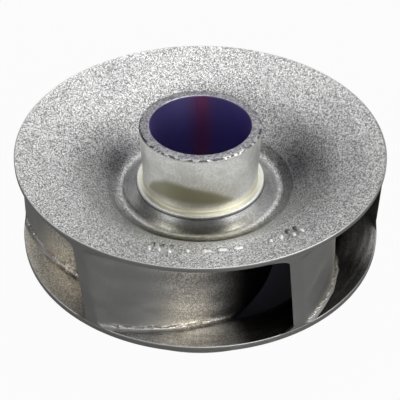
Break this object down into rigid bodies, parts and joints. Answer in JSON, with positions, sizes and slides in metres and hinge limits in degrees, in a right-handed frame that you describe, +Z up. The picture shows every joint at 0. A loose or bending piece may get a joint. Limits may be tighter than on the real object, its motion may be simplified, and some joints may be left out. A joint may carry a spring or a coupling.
{
  "type": "closed pump impeller",
  "caption": "Closed centrifugal pump impeller with backward-curved vanes between two shrouds, a plain bored hub collar and a suction neck.",
  "frame": {"origin": "on the shaft axis, in the plane of the suction neck's lower face, on which the impeller stands", "axes": "+Z up along the shaft axis, from the suction side to the hub collar; -Y is the front of the pictured view"},
  "size_m": [0.22, 0.22, 0.1078],
  "materials": {
    "turned_steel": "fine turned stainless steel",
    "blasted_steel": "shot-blasted stainless casting",
    "cast_steel": "as-cast stainless steel, with flash and rough skin"
  },
  "bodies": {
    "root": {"hub_sleeve": "turned_steel", "back_shroud": "blasted_steel", "front_shroud": "cast_steel", "suction_neck": "turned_steel", "vane_1": "cast_steel", "vane_2": "cast_steel", "vane_3": "cast_steel", "vane_4": "cast_steel", "vane_5": "cast_steel", "vane_6": "cast_steel"}
  },
  "joints": []
}
